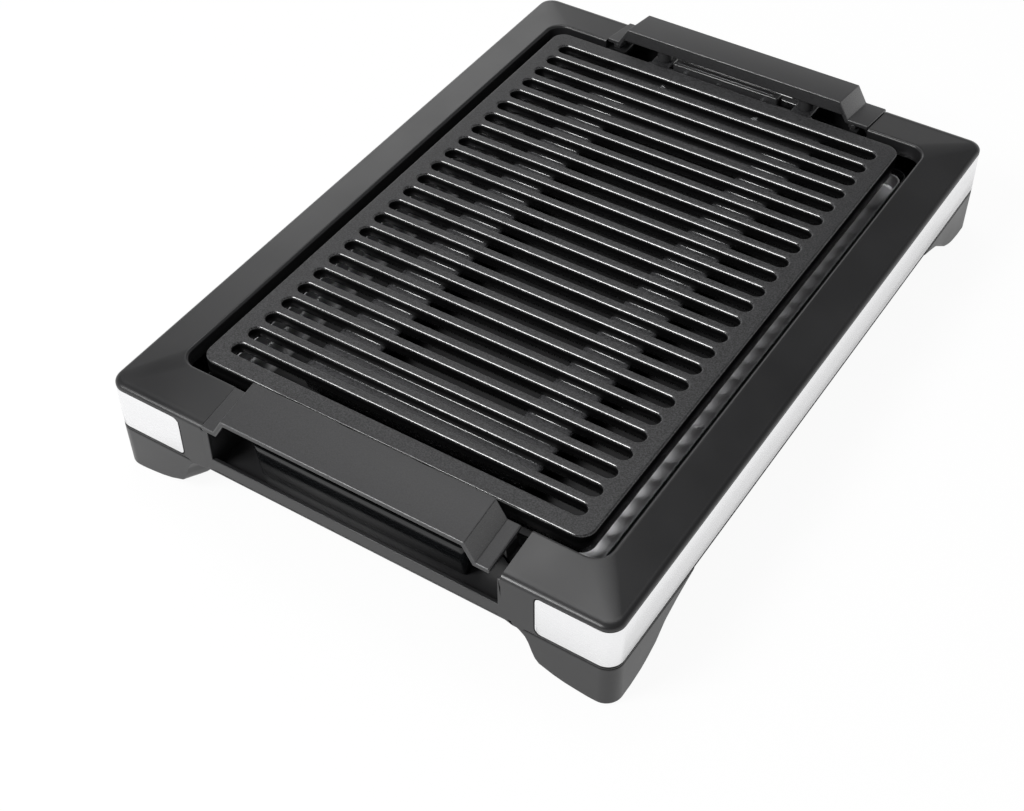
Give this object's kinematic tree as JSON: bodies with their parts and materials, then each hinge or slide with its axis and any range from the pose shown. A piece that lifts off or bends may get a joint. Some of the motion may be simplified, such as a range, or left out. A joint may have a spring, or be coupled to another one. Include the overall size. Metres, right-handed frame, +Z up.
{
  "type": "smokeless indoor grill",
  "caption": "Countertop electric grill: slotted cast plate with two handles on a raised tray-shaped base with steel side trim, plate and drip tray lift out.",
  "frame": {"origin": "on the surface that the grill stands on, under the middle of the base", "axes": "+Z up, +Y from the front handle to the rear handle with the terminals, +X to the right seen from the front"},
  "size_m": [0.32, 0.45, 0.079],
  "materials": {
    "housing_plastic": "satin black moulded plastic",
    "handle_phenolic": "matte black phenolic with a fine grain",
    "coated_casting": "speckled black nonstick coating on cast aluminium",
    "tray_plastic": "glossy black",
    "trim_steel": "satin stainless steel",
    "liner_aluminium": "bright rolled sheet",
    "screw_steel": "plated steel",
    "insulator_ceramic": "glazed white ceramic",
    "foot_rubber": "matte black rubber"
  },
  "bodies": {
    "base": {"upper_housing": "housing_plastic", "base_pan": "housing_plastic", "left_trim_strip": "trim_steel", "right_trim_strip": "trim_steel", "front_left_foot_pad": "foot_rubber", "front_right_foot_pad": "foot_rubber", "rear_left_foot_pad": "foot_rubber", "rear_right_foot_pad": "foot_rubber", "front_left_housing_screw": "screw_steel", "front_right_housing_screw": "screw_steel", "rear_left_housing_screw": "screw_steel", "rear_right_housing_screw": "screw_steel"},
    "grill": {"grill_plate": "coated_casting", "heating_element": "screw_steel", "left_terminal_pin": "screw_steel", "right_terminal_pin": "screw_steel", "left_terminal_insulator": "insulator_ceramic", "right_terminal_insulator": "insulator_ceramic", "probe_sleeve": "screw_steel", "terminal_guard": "handle_phenolic", "front_handle": "handle_phenolic", "rear_handle": "handle_phenolic", "front_left_handle_screw": "screw_steel", "front_right_handle_screw": "screw_steel", "rear_left_handle_screw": "screw_steel", "rear_right_handle_screw": "screw_steel"},
    "tray": {"drip_tray": "tray_plastic", "tray_liner": "liner_aluminium"}
  },
  "joints": [
    {"name": "plate_lift", "type": "slide", "parent": "base", "child": "grill", "axis": [0, 0, 1], "range_m": [0, 0.2]},
    {"name": "tray_lift", "type": "slide", "parent": "base", "child": "tray", "axis": [0, 0, 1], "range_m": [0, 0.1]}
  ],
  "couplings": [
    {"joint": "tray_lift", "follows": "plate_lift", "ratio": 0.5}
  ]
}
